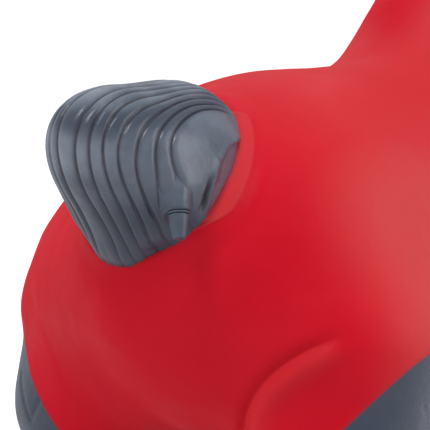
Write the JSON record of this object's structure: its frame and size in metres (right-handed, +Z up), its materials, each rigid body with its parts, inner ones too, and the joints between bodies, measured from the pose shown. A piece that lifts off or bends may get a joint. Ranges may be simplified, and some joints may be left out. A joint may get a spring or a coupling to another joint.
{
  "type": "inflatable hopper",
  "caption": "Inflatable pony hopper for a child to sit on and bounce: plump air-filled body on stub legs, ear grips, ribbed tail lobe and a plugged air valve.",
  "frame": {"origin": "on the floor, under the middle of the pony's overall box", "axes": "+X towards the head, +Y towards the animal's left side, +Z up"},
  "size_m": [0.5992, 0.3104, 0.5094],
  "materials": {
    "red_vinyl": "satin",
    "grey_paint": "satin",
    "valve_vinyl": "satin"
  },
  "bodies": {
    "skin": {"trunk": "red_vinyl", "neck": "red_vinyl", "head": "red_vinyl", "ear_left": "red_vinyl", "ear_right": "red_vinyl", "tail_welt": "red_vinyl", "leg_hind_left": "red_vinyl", "leg_hind_right": "red_vinyl", "leg_front_left": "red_vinyl", "leg_front_right": "red_vinyl", "mane": "grey_paint", "forelock": "grey_paint", "tail": "grey_paint", "valve_boss": "grey_paint", "hoof_hind_left": "grey_paint", "hoof_hind_right": "grey_paint", "hoof_front_left": "grey_paint", "hoof_front_right": "grey_paint", "valve_sleeve": "valve_vinyl"},
    "stopper": {"valve_stopper": "valve_vinyl"}
  },
  "joints": [
    {"name": "stopper_pull", "type": "slide", "parent": "skin", "child": "stopper", "axis": [-0.3306, -0.3655, -0.8701], "range_m": [0, 0.03]}
  ]
}
